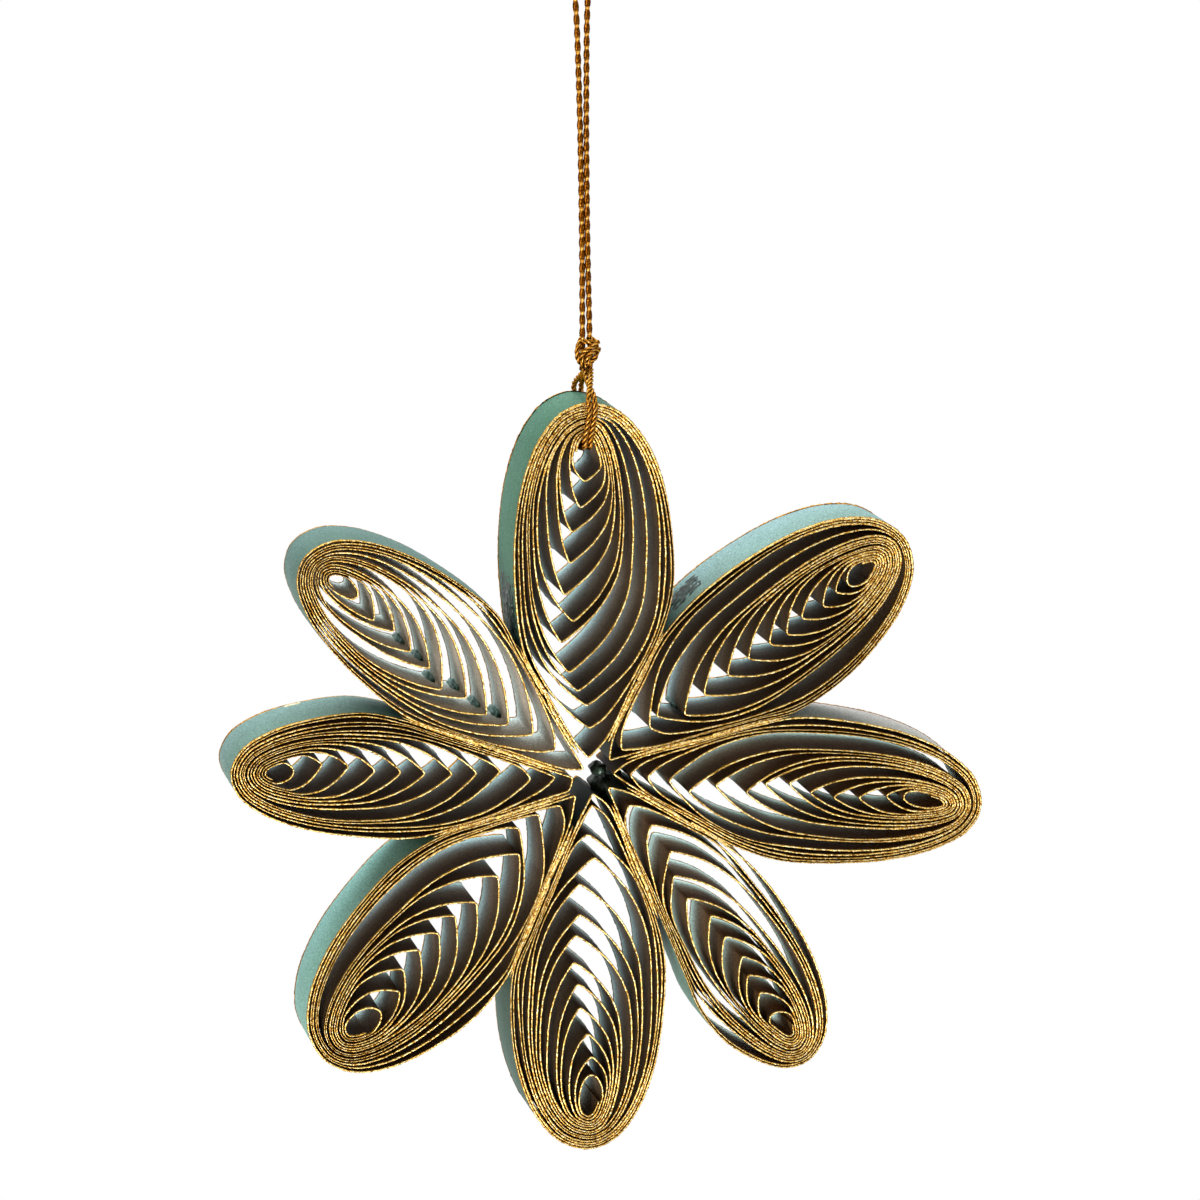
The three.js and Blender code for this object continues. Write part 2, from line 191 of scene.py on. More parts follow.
# Drops of dried glue in the open centre, with their middles and half sizes in millimetres: the first a lump
# of glue, the three dark ones behind it partly painted shade that fills the hub
CENTRE_GLUE_AND_SHADE_DROPS = [((0.52, -0.5, -83.07), (0.8, 1.5, 0.62)), ((0.95, 0.5, -84.8), (1.05, 2.2, 0.8)),
                ((2.2, 0.6, -83.9), (0.9, 1.9, 0.4)), ((1.3, 0.6, -85.9), (0.55, 1.9, 0.7))]
CENTRE_LUMPS = 0.2

# How near and far from the centre two petals' pinches hold glue, and its drops' places, sizes and points
GLUED_PINCHES = {"petal_upper_left": (8 * MM, 25 * MM), "petal_upper_right": (8 * MM, 11.5 * MM)}
PINCH_DROP_OUT, PINCH_DROP_DEPTH = 0.26 * MM, 1.3 * MM
PINCH_DROP_HALF = np.array([0.46, 2.2, 0.42]) * MM
PINCH_LUMPS = 0.3
DROP_ROWS, DROP_COLUMNS = 14, 20

# Films on outer walls, in millimetres: the petal, the middle's x and z, the length, two depths, thickness
WALL_FILMS = {"glue_on_top_wall": ("petal_top", -7.5, -67.5, 8.5, -3.2, 3.0, 0.09),
              "glue_on_upper_right_wall": ("petal_upper_right", 9.2, -66.2, 5.0, -1.8, 2.4, 0.09),
              "chip_in_left_wall": ("petal_left", -28.8, -75.5, 2.4, 2.6, 3.6, 0.05)}
FILM_STEP = 0.2 * MM
FILM_LUMPS, FILM_DIP, FILM_SUNK = 0.35, 0.2, 0.5

# Studio: the floor, and lamps with their place from the flower's centre, power, size and colour
FLOOR_SIZE, FLOOR_HEIGHT = 12, -0.9
LAMPS = {"key_behind_left": ((-0.12, 0.3, 0.7), 12.5, 0.95, (0.87, 0.97, 1.0)),
         "fill_front_left": ((-0.4, -0.55, 0.2), 0.5, 0.4, (1.0, 0.74, 0.5)),
         "bounce_left_below": ((-0.25, -0.6, -0.35), 6.5, 0.4, (1.0, 0.92, 0.82))}


def smooth_through(points, step):
    """Points in even steps along a centripetal spline through the given ones."""
    points = np.asarray(points, float)
    ends = [2 * points[0] - points[1], 2 * points[-1] - points[-2]]
    knots = np.vstack([ends[0], points, ends[1]])
    dense = []
    for p0, p1, p2, p3 in zip(knots, knots[1:], knots[2:], knots[3:]):
        t0 = 0.0
        t1 = t0 + math.sqrt(np.linalg.norm(p1 - p0))
        t2 = t1 + math.sqrt(np.linalg.norm(p2 - p1))
        t3 = t2 + math.sqrt(np.linalg.norm(p3 - p2))
        for t in np.linspace(t1, t2, SPLINE_STEPS, endpoint=False):
            a1 = ((t1 - t) * p0 + (t - t0) * p1) / (t1 - t0)
            a2 = ((t2 - t) * p1 + (t - t1) * p2) / (t2 - t1)
            a3 = ((t3 - t) * p2 + (t - t2) * p3) / (t3 - t2)
            b1 = ((t2 - t) * a1 + (t - t0) * a2) / (t2 - t0)
            b2 = ((t3 - t) * a2 + (t - t1) * a3) / (t3 - t1)
            dense.append(((t2 - t) * b1 + (t - t1) * b2) / (t2 - t1))
    dense.append(points[-1])
    return even_steps(np.array(dense), step)


def run_along(line):
    """How far along a line each of its points is."""
    return np.concatenate([[0], np.cumsum(np.linalg.norm(np.diff(line, axis=0), axis=1))])


def even_steps(line, step):
    """The same line with its points an even step apart."""
    run = run_along(line)
    count = max(2, int(round(run[-1] / step)) + 1)
    at = np.linspace(0, run[-1], count)
    return np.stack([np.interp(at, run, line[:, k]) for k in range(line.shape[1])], axis=1)


def unit_tangents(line):
    """The unit vectors along a line at its points."""
    along = np.gradient(line, axis=0)
    return along / np.linalg.norm(along, axis=1)[:, None]


def side_normals(line):
    """The unit normals to one side of a flat line."""
    along = unit_tangents(line)
    return np.stack([-along[:, 1], along[:, 0]], axis=1)


def outline_of(node):
    """The closed outline of a strip's front face, as points (x, z) in order."""
    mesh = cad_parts[node].data
    mesh.calc_loop_triangles()
    at = np.array([v.co for v in mesh.vertices])
    front = at[:, 1].min() + FACE_DEPTH
    keys = [tuple(k) for k in np.round(at[:, [0, 2]] / SAME_PLACE).astype(int)]
    edges = set()
    for triangle in mesh.loop_triangles:
        a, b, c = triangle.vertices
        if max(at[a, 1], at[b, 1], at[c, 1]) > front:
            continue
        for i, j in ((a, b), (b, c), (c, a)):
            if (keys[j], keys[i]) in edges:
                edges.remove((keys[j], keys[i]))
            else:
                edges.add((keys[i], keys[j]))
    follows = dict(edges)
    start = min(follows)
    loop = [start]
    while follows[loop[-1]] != start:
        loop.append(follows[loop[-1]])
    return np.array(loop) * SAME_PLACE


def middle_line(outline):
    """The line midway between the two sides of a strip, from its inner end to its outer end."""
    half = len(outline) // 2
    steps = np.arange(half)

    def sides(i):
        return outline[(i + 1 + steps) % len(outline)], outline[(i - steps) % len(outline)]

    def width(i):
        one, other = sides(i)
        return np.linalg.norm(one - other, axis=1).mean()

    one, other = sides(min(range(len(outline)), key=width))
    line = (one + other) / 2
    if np.ptp(line[:END_POINTS], axis=0).max() > np.ptp(line[-END_POINTS:], axis=0).max():
        line = line[::-1]
    return line


def pinches_of(points):
    """Where a strip's line turns sharply."""
    runs = np.diff(points, axis=0)
    heading = np.arctan2(runs[:, 1], runs[:, 0])
    turn = np.abs((np.diff(heading) + math.pi) % (2 * math.pi) - math.pi)
    return np.nonzero(turn > PINCH_TURN)[0] + 1


def rounded_line(points):
    """The strip's line with round bends everywhere but at its pinches."""
    corners = [0, *pinches_of(points), len(points) - 1]
    pieces, pinches, count = [], [], 0
    for a, b in zip(corners, corners[1:]):
        piece = smooth_through(points[a:b + 1], STRIP_STEP)
        pieces.append(piece if b == len(points) - 1 else piece[:-1])
        count += len(pieces[-1])
        pinches.append(count)
    line = np.vstack(pieces)
    for _ in range(PINCH_SOFTENINGS):
        soft = line.copy()
        for c in pinches[:-1]:
            for i in range(c - 1, c + 2):
                soft[i] = (line[i - 1] + 2 * line[i] + line[i + 1]) / 4
        line = soft
    return line


def eye_of(line):
    """The middle of a strip's eye."""
    return line[:EYE_POINTS].mean(axis=0)


def outward_normals(line):
    """The unit normals of a strip's line, away from its eye."""
    normal = side_normals(line)
    return normal if ((line - eye_of(line)) * normal).sum() > 0 else -normal


def room_beside(line):
    """How far each point of a strip is from the nearest other turn of it."""
    room = np.empty(len(line))
    index = np.arange(len(line))
    for i, p in enumerate(line):
        far = np.abs(index - i) > OWN_POINTS
        room[i] = np.sqrt(((line[far] - p) ** 2).sum(axis=1).min())
    return room


def outermost_turn(line):
    """True for the points of the strip's last full turn."""
    from_eye = line - eye_of(line)
    angle = np.unwrap(np.arctan2(from_eye[:, 1], from_eye[:, 0]))
    return np.abs(angle[-1] - angle) < 2 * math.pi


def wander(count, spacing, size):
    """A slow random wave along a strip, with a mark every so many points."""
    marks = rng.normal(0, size, max(4, int(count / spacing) + 3))
    return np.interp(np.linspace(0, len(marks) - 1, count), np.arange(len(marks)), marks)


def loosened(line):
    """The line of a strip whose turns lie a little unevenly beside each other."""
    most = np.clip(room_beside(line) / 2 - PAPER_HALF - TURN_GAP, 0, TURN_SLIP_MOST)
    slip = np.clip(wander(len(line), SLIP_SPACING, TURN_SLIP), -most, most)
    return line + outward_normals(line) * slip[:, None]


def gilt_width(line, room, tip_fill):
    """Half the width of a strip's gilding, how far it merges with the next turn's, and how much painted
    highlight it keeps.
    """
    reach = np.linalg.norm(line - CENTRE_XZ, axis=1)
    fill = np.interp(reach, FILL_REACH, [ROOT_FILL, FLANK_FILL, FLANK_FILL, tip_fill])
    fill += wander(len(line), FILL_SPACING, FILL_WANDER)
    most = np.interp(room, WIDE_ROOM, [EDGE_HALF_PACKED, EDGE_HALF_MOST])
    half = np.clip(0.5 * fill * room, EDGE_HALF_LEAST, most)
    merged = np.clip((fill - MERGE_FILL) / MERGE_SPAN, 0, 1) * (room < MERGE_ROOM)
    packed = np.interp(room, PAINTED_SHADE_ROOM, [1, 0])
    return half, merged, 1 - PACKED_PAINTED_SHADE * packed


def edge_columns(line, normal, gilt_half, merged, painted_highlight, wall_half, middle_half):
    """The points round a strip's section, all along it, and how much painted highlight each gets."""
    count = len(line)
    edge = np.full(count, STRIP_WIDTH / 2 - WALL_INSET)
    columns, crowns = [], []

    def add_column(across, depth, crown):
        columns.append(np.stack([line[:, 0] + normal[:, 0] * across, depth,
                                 line[:, 1] + normal[:, 1] * across], axis=1))
        crowns.append(np.broadcast_to(crown, count))

    for facing, section in ((-1, EDGE_SECTION), (1, EDGE_SECTION[::-1])):
        lift = wander(count, LIFT_SPACING, EDGE_LIFT)
        add_column(-facing * wall_half, facing * edge, 0.0)
        for share, below, crown in section:
            shoulder = merged if 0 < crown < 1 else 0.0
            across = gilt_half * (share + rng.normal(0, EDGE_GRAIN, count))
            grain = gilt_half * rng.normal(0, EDGE_GRAIN, count)
            rise = lift + grain - (below - MERGED_RISE * shoulder) * MM
            bright = (crown + (MERGED_CROWN - crown) * shoulder) * painted_highlight
            add_column(across, facing * (STRIP_WIDTH / 2 + rise), bright)
        add_column(facing * wall_half, facing * edge, 0.0)
        add_column(facing * middle_half, np.zeros(count), 0.0)
    return np.stack(columns, axis=1), np.stack(crowns, axis=1)


def edged_mesh(name, columns, crowns, outward_kinds):
    """A strip on its edge: two walls, a granular gilt bead along its front and its back, and closed ends."""
    count, around = crowns.shape
    points = columns.reshape(-1, 3)
    ring = np.arange(count - 1)[:, None] * around
    side = around // 2
    quads, kinds, smooth = [], [], []
    for j in range(around):
        k = (j + 1) % around
        quads.append(np.hstack([ring + j, ring + k, ring + k + around, ring + j + around]))
        wall = j % side >= side - 2
        kinds.append(outward_kinds if wall and j >= side else np.full(count - 1, INSIDE if wall else GILT))
        smooth.append(np.full(count - 1, 0 < j % side < side - 3))
    quads = np.vstack(quads)
    ends = [np.arange(around)[::-1], np.arange(around) + (count - 1) * around]
    corners = points[quads]
    if np.einsum("ij,ij->", corners[:, 0], np.cross(corners[:, 1], corners[:, 2])) < 0:
        quads, ends = quads[:, ::-1], [end[::-1] for end in ends]
    mesh = bpy.data.meshes.new(name)
    mesh.from_pydata(points.tolist(), [], quads.tolist() + [end.tolist() for end in ends])
    paint(mesh, "crown", crowns.reshape(-1))
    mesh.polygons.foreach_set("material_index", np.concatenate([*kinds, [GILT, GILT]]).astype(np.int32))
    mesh.polygons.foreach_set("use_smooth", np.concatenate([*smooth, [False, False]]))
    mesh.update()
    return mesh


def paint(mesh, attribute, values):
    """Give each point of a mesh a value that its material reads."""
    mesh.attributes.new(attribute, "FLOAT", "POINT").data.foreach_set("value", values)


def strip_mesh(name, line, tip_fill):
    """A petal's strip, with its outermost turn's outer wall in a material of its own and its other walls in
    paper painted with shade and highlight.
    """
    room = room_beside(line)
    wall_half = np.full(len(line), PAPER_HALF)
    packed_half = np.maximum(room / 2 - TURN_GAP, PAPER_HALF)
    middle_half = PAPER_HALF + (packed_half - PAPER_HALF) * np.interp(room, PACKED_ROOM, [1, 0])
    gilding = gilt_width(line, room, tip_fill)
    section = edge_columns(line, outward_normals(line), *gilding, wall_half, middle_half)
    return edged_mesh(name, *section, np.where(outermost_turn(line)[:-1], OUTSIDE, INSIDE))


def seam_between(line, other):
    """Points midway where two petals' outermost turns lie together, outwards, and the room at each."""
    ours, theirs = line[outermost_turn(line)], other[outermost_turn(other)]
    apart = np.linalg.norm(ours[:, None] - theirs[None], axis=2)
    room = apart.min(axis=1)
    middle = (ours + theirs[apart.argmin(axis=1)]) / 2
    reach = np.linalg.norm(middle - CENTRE_XZ, axis=1)
    points, rooms = [], []
    for place in np.arange(0, SEAM_END, SEAM_STEP):
        most = np.interp(place, SEAM_REACH, SEAM_ROOM)
        near = np.nonzero((np.abs(reach - place) < SEAM_STEP / 2) & (room < most))[0]
        if len(near):
            best = near[room[near].argmin()]
            points.append(middle[best])
            rooms.append(room[best])
    seam = smooth_through(points, STRIP_STEP)
    return seam, np.interp(np.linspace(0, 1, len(seam)), np.linspace(0, 1, len(rooms)), rooms)


def seam_mesh(name, line, room):
    """Glue that fills the seam between two petals, gilt along its edges like the paper."""
    taper = np.interp(np.linspace(0, 1, len(line)), *zip(*SEAM_TAPER))
    half = np.minimum(0.5 * room - SEAM_CLEARANCE, SEAM_HALF) * taper
    wall_half = SEAM_WALL * half
    gilding = half, np.ones(len(line)), 1 - PACKED_PAINTED_SHADE
    section = edge_columns(line, side_normals(line), *gilding, wall_half, wall_half)
    return edged_mesh(name, *section, np.full(len(line) - 1, INSIDE))


def new_material(name):
    """A material, its node tree and its main shader."""
    material = bpy.data.materials.new(name)
    material.use_nodes = True
    tree = material.node_tree
    return material, tree, tree.nodes["Principled BSDF"]


def ramp_from(tree, source, stops):
    """A colour ramp over a value, from (place, colour) pairs."""
    ramp = tree.nodes.new("ShaderNodeValToRGB")
    elements = ramp.color_ramp.elements
    while len(elements) < len(stops):
        elements.new(0.5)
    for element, (place, colour) in zip(elements, stops):
        element.position = place
        element.color = (*colour, 1)
    tree.links.new(source, ramp.inputs["Fac"])
    return ramp.outputs["Color"]


def object_noise(tree, size, detail=3.0, roughness=0.55):
    """Noise in the object's own space, with lumps of about the given size."""
    place = tree.nodes.new("ShaderNodeTexCoord")
    noise = tree.nodes.new("ShaderNodeTexNoise")
    noise.inputs["Scale"].default_value = 1 / size
    noise.inputs["Detail"].default_value = detail
    noise.inputs["Roughness"].default_value = roughness
    tree.links.new(place.outputs["Object"], noise.inputs["Vector"])
    return noise.outputs["Fac"]


def bump_from(tree, shader, source, strength, depth):
    """Bumps of the given depth, as high as a value is."""
    bump = tree.nodes.new("ShaderNodeBump")
    bump.inputs["Strength"].default_value = strength
    bump.inputs["Distance"].default_value = depth
    tree.links.new(source, bump.inputs["Height"])
    tree.links.new(bump.outputs["Normal"], shader.inputs["Normal"])


def painted_share(tree, attribute, low, high):
    """A mix of two colours by a value painted on the mesh's points."""
    share = tree.nodes.new("ShaderNodeAttribute")
    share.attribute_name = attribute
    mix = tree.nodes.new("ShaderNodeMix")
    mix.data_type = "RGBA"
    tree.links.new(share.outputs["Fac"], mix.inputs["Factor"])
    tree.links.new(low, mix.inputs["A"])
    tree.links.new(high, mix.inputs["B"])
    return mix.outputs["Result"]


def gilt_edge_material():
    """Grains of gilding, with a painted highlight on the edge's crown and painted brown shade down its sides.
    """
    material, tree, shader = new_material("gilt_edge")
    place = tree.nodes.new("ShaderNodeTexCoord")
    cells = tree.nodes.new("ShaderNodeTexVoronoi")
    cells.inputs["Scale"].default_value = 1 / (0.12 * MM)
    tree.links.new(place.outputs["Object"], cells.inputs["Vector"])
    shade = tree.nodes.new("ShaderNodeSeparateColor")
    tree.links.new(cells.outputs["Color"], shade.inputs["Color"])
    sides = ramp_from(tree, shade.outputs["Green"], [
        (0.2, (0.12, 0.042, 0.005)), (0.9, (0.42, 0.18, 0.02))])
    crown = ramp_from(tree, shade.outputs["Red"], [
        (0.0, (0.12, 0.047, 0.006)), (0.22, (0.42, 0.22, 0.03)), (0.45, (0.78, 0.54, 0.13)),
        (0.72, (0.95, 0.75, 0.27)), (1.0, (1.0, 0.93, 0.6))])
    tree.links.new(painted_share(tree, "crown", sides, crown), shader.inputs["Base Color"])
    shader.inputs["Metallic"].default_value = 1.0
    shader.inputs["Roughness"].default_value = 0.36
    shader.inputs["Specular Tint"].default_value = (1.0, 0.78, 0.36, 1)
    bump_from(tree, shader, object_noise(tree, 0.1 * MM), 0.8, 0.05 * MM)
    return material


def width_share(tree):
    """How far across the strip a place is: 0 at its front edge, 1 at its back edge."""
    place = tree.nodes.new("ShaderNodeTexCoord")
    parts = tree.nodes.new("ShaderNodeSeparateXYZ")
    share = tree.nodes.new("ShaderNodeMapRange")
    share.inputs["From Min"].default_value = -STRIP_WIDTH / 2
    share.inputs["From Max"].default_value = STRIP_WIDTH / 2
    tree.links.new(place.outputs["Object"], parts.inputs["Vector"])
    tree.links.new(parts.outputs["Y"], share.inputs["Value"])
    return share.outputs["Result"]


def times(tree, one, other):
    """The product of two colours."""
    mix = tree.nodes.new("ShaderNodeMix")
    mix.data_type = "RGBA"
    mix.blend_type = "MULTIPLY"
    mix.inputs["Factor"].default_value = 1.0
    tree.links.new(one, mix.inputs["A"])
    tree.links.new(other, mix.inputs["B"])
    return mix.outputs["Result"]


def from_centre(tree):
    """How far a place is from the flower's centre, as a share of the reach of its glue and its painted shade.
    """
    place = tree.nodes.new("ShaderNodeTexCoord")
    apart = tree.nodes.new("ShaderNodeVectorMath")
    apart.operation = "DISTANCE"
    apart.inputs[1].default_value = FLOWER_CENTRE
    share = tree.nodes.new("ShaderNodeMapRange")
    share.inputs["From Max"].default_value = GLUE_AND_SHADE_REACH
    tree.links.new(place.outputs["Object"], apart.inputs[0])
    tree.links.new(apart.outputs["Value"], share.inputs["Value"])
    return share.outputs["Result"]


def with_painted_light(stops, tint):
    """Colour stops painted lighter or darker, in a hue of their own, for how light falls on a petal."""
    return [(place, tuple(c * t for c, t in zip(colour, tint))) for place, colour in stops]


def paper_material(name, stops, stain_and_shade, sheen):
    """Pearly paper: a colour that turns across the strip, darker near the centre from glue and painted shade,
    patches, grain and a cool sheen.
    """
    material, tree, shader = new_material(name)
    across = times(tree, ramp_from(tree, width_share(tree), stops), ramp_from(tree, from_centre(tree), stain_and_shade))
    patches = ramp_from(tree, object_noise(tree, 5 * MM, 4), PAPER_PATCHES)
    specks = ramp_from(tree, object_noise(tree, 0.17 * MM, 2, 0.7), PAPER_SPECKS)
    tree.links.new(times(tree, times(tree, across, patches), specks), shader.inputs["Base Color"])
    shader.inputs["Specular IOR Level"].default_value = sheen
    shader.inputs["Roughness"].default_value = 0.5
    shader.inputs["Sheen Weight"].default_value = sheen
    shader.inputs["Sheen Tint"].default_value = (0.6, 0.92, 1.0, 1)
    bump_from(tree, shader, object_noise(tree, 0.2 * MM), 0.2, 0.03 * MM)
    return material


def outer_paper_material(node):
    """The outside of a petal's strip, with the petal's own painted light."""
    stops = with_painted_light(OUTER_STOPS, OUTER_PAINTED_LIGHT.get(node, NO_PAINTED_LIGHT))
    return paper_material(node + "_outside", stops, OUTER_STAIN_AND_SHADE, OUTER_SHEEN)


def inner_paper_material(node):
    """The inside of a petal's strip, painted with shade and highlight across it and the petal's own painted
    light.
    """
    stops = PAINTED_LIT_STOPS if node == PAINTED_LIT_PETAL else with_painted_light(INNER_SHADE_STOPS, INNER_PAINTED_LIGHT.get(node, NO_PAINTED_LIGHT))
    return paper_material(node + "_inside", stops, INNER_STAIN_AND_SHADE, INNER_SHEEN)


def cord_material():
    """Brown-gold yarn with painted highlights where a ply comes to the outside."""
    material, tree, shader = new_material("gilt_cord")
    body = ramp_from(tree, object_noise(tree, 0.2 * MM, 2), [
        (0.35, (0.05, 0.013, 0.001)), (0.55, (0.13, 0.042, 0.003)), (0.75, (0.34, 0.13, 0.012))])
    painted_glint = ramp_from(tree, object_noise(tree, 0.12 * MM, 2), [
        (0.35, (0.4, 0.14, 0.01)), (0.53, (0.76, 0.37, 0.045)), (0.7, (0.97, 0.75, 0.29))])
    tree.links.new(painted_share(tree, "painted_glint", body, painted_glint), shader.inputs["Base Color"])
    shader.inputs["Metallic"].default_value = 1.0
    shader.inputs["Roughness"].default_value = 0.36
    shader.inputs["Specular Tint"].default_value = (1.0, 0.6, 0.2, 1)
    bump_from(tree, shader, object_noise(tree, 0.1 * MM), 0.5, 0.04 * MM)
    return material


def glue_material(name, stops):
    """Dried glue, lumpy and a little shiny."""
    material, tree, shader = new_material(name)
    tree.links.new(ramp_from(tree, object_noise(tree, 0.5 * MM), stops), shader.inputs["Base Color"])
    shader.inputs["Roughness"].default_value = 0.35
    shader.inputs["Specular IOR Level"].default_value = 0.1
    bump_from(tree, shader, object_noise(tree, 0.5 * MM, 4), 0.7, 0.15 * MM)
    return material


def thick_glue_material():
    """Dark glue with pale specks, which are painted glints."""
    return glue_material("dried_glue", [(0.35, (0.01, 0.012, 0.008)), (0.5, (0.02, 0.034, 0.026)),
                                        (0.66, (0.06, 0.11, 0.09)), (0.72, (0.5, 0.62, 0.59))])


def thin_glue_material():
    """A run of glue that the paper's dye has turned teal."""
    return glue_material("dyed_glue", [(0.35, (0.025, 0.07, 0.055)), (0.52, (0.06, 0.16, 0.13)),
                                       (0.7, (0.2, 0.38, 0.34))])


def chip_material():
    """Bare paper where a wall is chipped."""
    material, tree, shader = new_material("bare_paper")
    colour = ramp_from(tree, object_noise(tree, 0.3 * MM), [
        (0.35, (0.55, 0.42, 0.22)), (0.65, (0.8, 0.72, 0.52))])
    tree.links.new(colour, shader.inputs["Base Color"])
    shader.inputs["Roughness"].default_value = 0.8
    return material


def add_piece(name, mesh, materials, slot, *nodes):
    """A piece of the object that rides the frame, instead of the nodes it replaces."""
    piece = bpy.data.objects.new(name, mesh)
    bpy.context.scene.collection.objects.link(piece)
    for material in materials:
        mesh.materials.append(material)
    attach(piece, "root")
    if nodes:
        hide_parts(*nodes)
    return piece


def in_top_petal(along, across, depth):
    """A place in the top petal's plane, in the part's frame."""
    turned = [along * math.cos(TOP_HEADING) - across * math.sin(TOP_HEADING), depth,
              along * math.sin(TOP_HEADING) + across * math.cos(TOP_HEADING)]
    return FLOWER_CENTRE + np.array(turned)


def sling_points(side):
    """One strand from the knot's front through the top petal's eye and up behind to the knot."""
    apart = side * STRAND_SPACING / 2
    foot = KNOT_ALONG - KNOT_HEIGHT / 2 - KNOT_GAP
    outside = STRIP_WIDTH / 2 + STRIP_GAP + CORD_RADIUS

    def half(facing, across):
        crossing = apart * facing
        front = FRONT_SPACING / STRAND_SPACING if facing < 0 else 1
        return [
            in_top_petal(foot, KNOT_ACROSS + apart, facing * STRAND_SPACING / 2),
            in_top_petal(TOP_REACH + 1.7 * MM, (KNOT_ACROSS + across) / 2 - 0.2 * crossing,
                         facing * (outside - 2.1 * MM) - 0.8 * crossing),
            in_top_petal(TOP_REACH + 0.6 * MM, across - front * apart, facing * (outside - 0.4 * MM)),
            in_top_petal(TOP_REACH - 0.8 * MM, across - front * apart, facing * outside),
            in_top_petal(EYE_REACH + 1.1 * MM, EYE_ACROSS - front * apart, facing * outside),
            in_top_petal(EYE_REACH + 0.3 * MM, EYE_ACROSS - front * apart, facing * (outside - 0.3 * MM)),
            in_top_petal(EYE_REACH, EYE_ACROSS - apart, facing * (outside - 1.1 * MM)),
        ]

    return [*half(-1, FRONT_ACROSS), *half(1, BACK_ACROSS)[::-1]]


def loop_points():
    """The hanging loop, up the left strand, over the top and down the right one."""
    near, half = STRAND_SPACING / 2, LOOP_WIDTH / 2 - CORD_RADIUS
    knot = in_top_petal(KNOT_ALONG, KNOT_ACROSS, 0)
    head = knot[2] + KNOT_HEIGHT / 2 + KNOT_GAP
    side = [(near, 0), (0.27 * MM, LOOP_RISE - 33 * MM), (0.27 * MM, LOOP_RISE - 26 * MM),
            (near, LOOP_RISE - 18 * MM), (near + 0.28 * MM, LOOP_RISE - 9 * MM),
            (half - 0.3 * MM, LOOP_RISE - 5 * MM), (half, LOOP_RISE - 2.4 * MM),
            (0.75 * half, LOOP_RISE - 0.7 * MM)]
    left = [(knot[0] - x, 0, head + rise) for x, rise in side]
    right = [(knot[0] + x, 0, head + rise) for x, rise in side]
    return [*left, (knot[0], 0, head + LOOP_RISE), *right[::-1]]


def cord_route():
    """The whole cord in three runs: a strand of the sling, the hanging loop, the sling's other strand."""
    left, loop, right = sling_points(1), loop_points(), sling_points(-1)[::-1]
    line = smooth_through([*left, *loop, *right], CORD_STEP)
    cuts = [((line - np.array(end)) ** 2).sum(axis=1).argmin() for end in (left[-1], right[0])]
    return line[:cuts[0] + 1], line[cuts[0]:cuts[1] + 1], line[cuts[1]:]


def carried_frames(line):
    """Two unit vectors across a line at each of its points, turning as little as they can."""
    along = unit_tangents(line)
    first = np.cross(along[0], FRAME_START)
    ones, others = [], []
    for t in along:
        first = first - t * (first @ t)
        first /= np.linalg.norm(first)
        ones.append(first)
        others.append(np.cross(t, first))
    return np.array(ones), np.array(others)


def smooth_mesh(name, points, faces):
    """A mesh with smooth faces."""
    mesh = bpy.data.meshes.new(name)
    mesh.from_pydata(points, [], faces)
    mesh.polygons.foreach_set("use_smooth", np.ones(len(faces), bool))
    mesh.update()
    return mesh


def ply_faces(first, count):
    """The faces of a ply whose points start at the given one: its sides in rings, and its two ends."""
    faces = []
    for ring in range(first, first + (count - 1) * PLY_SIDES, PLY_SIDES):
        for k in range(PLY_SIDES):
            a, b = ring + k, ring + (k + 1) % PLY_SIDES
            faces.append((a, b, b + PLY_SIDES, a + PLY_SIDES))
    last = first + (count - 1) * PLY_SIDES
    faces.append(tuple(first + k for k in range(PLY_SIDES))[::-1])
    faces.append(tuple(last + k for k in range(PLY_SIDES)))
    return faces


def twisted_cord_mesh(name, line, radius, plies, twist):
    """Plies twisted round a line, each full twist of the given length."""
    one, other = carried_frames(line)
    turned = 2 * math.pi * run_along(line) / twist
    ply, offset = radius * PLY_SHARE[plies], radius * (1 - PLY_SHARE[plies])
    points, faces, glints = [], [], []
    for i in range(plies):
        angle = i * 2 * math.pi / plies + turned
        middle = line + offset * (one * np.cos(angle)[:, None] + other * np.sin(angle)[:, None])
        rings, shares = [], []
        for around in np.arange(PLY_SIDES) * 2 * math.pi / PLY_SIDES:
            a = angle + around
            rings.append(middle + ply * (one * np.cos(a)[:, None] + other * np.sin(a)[:, None]))
            shares.append(painted_glint_share(plies, around, one, other, angle))
        points.append(np.stack(rings, axis=1).reshape(-1, 3))
        glints.append(np.stack(shares, axis=1).reshape(-1))
        faces += ply_faces(i * len(line) * PLY_SIDES, len(line))
    mesh = smooth_mesh(name, np.vstack(points).tolist(), faces)
    paint(mesh, "painted_glint", np.concatenate(glints))
    return mesh


def painted_glint_share(plies, around, one, other, angle):
    """How much painted highlight a ply's side gets: on a tight cord's outer ridges, and on a slack one's
    nips, where its plies face front or back.
    """
    if plies == SLING_PLIES:
        least, ridge = RIDGE_GLINT
        return np.full(len(angle), least + ridge * max(0.0, math.cos(around)) ** 2)
    start, rise = NIP_GLINT
    aside = one[:, 1] * np.cos(angle) + other[:, 1] * np.sin(angle)
    return np.clip((np.abs(aside) - start) * rise, 0, 1)


def join_meshes(name, meshes):
    """One smooth mesh that holds several, with their points' painted glints where they have them."""
    points, faces, glints = [], [], []
    for mesh in meshes:
        first = len(points)
        points += [tuple(v.co) for v in mesh.vertices]
        faces += [tuple(first + i for i in p.vertices) for p in mesh.polygons]
        if "painted_glint" in mesh.attributes:
            glints += [d.value for d in mesh.attributes["painted_glint"].data]
    joined = smooth_mesh(name, points, faces)
    if glints:
        paint(joined, "painted_glint", glints)
    return joined


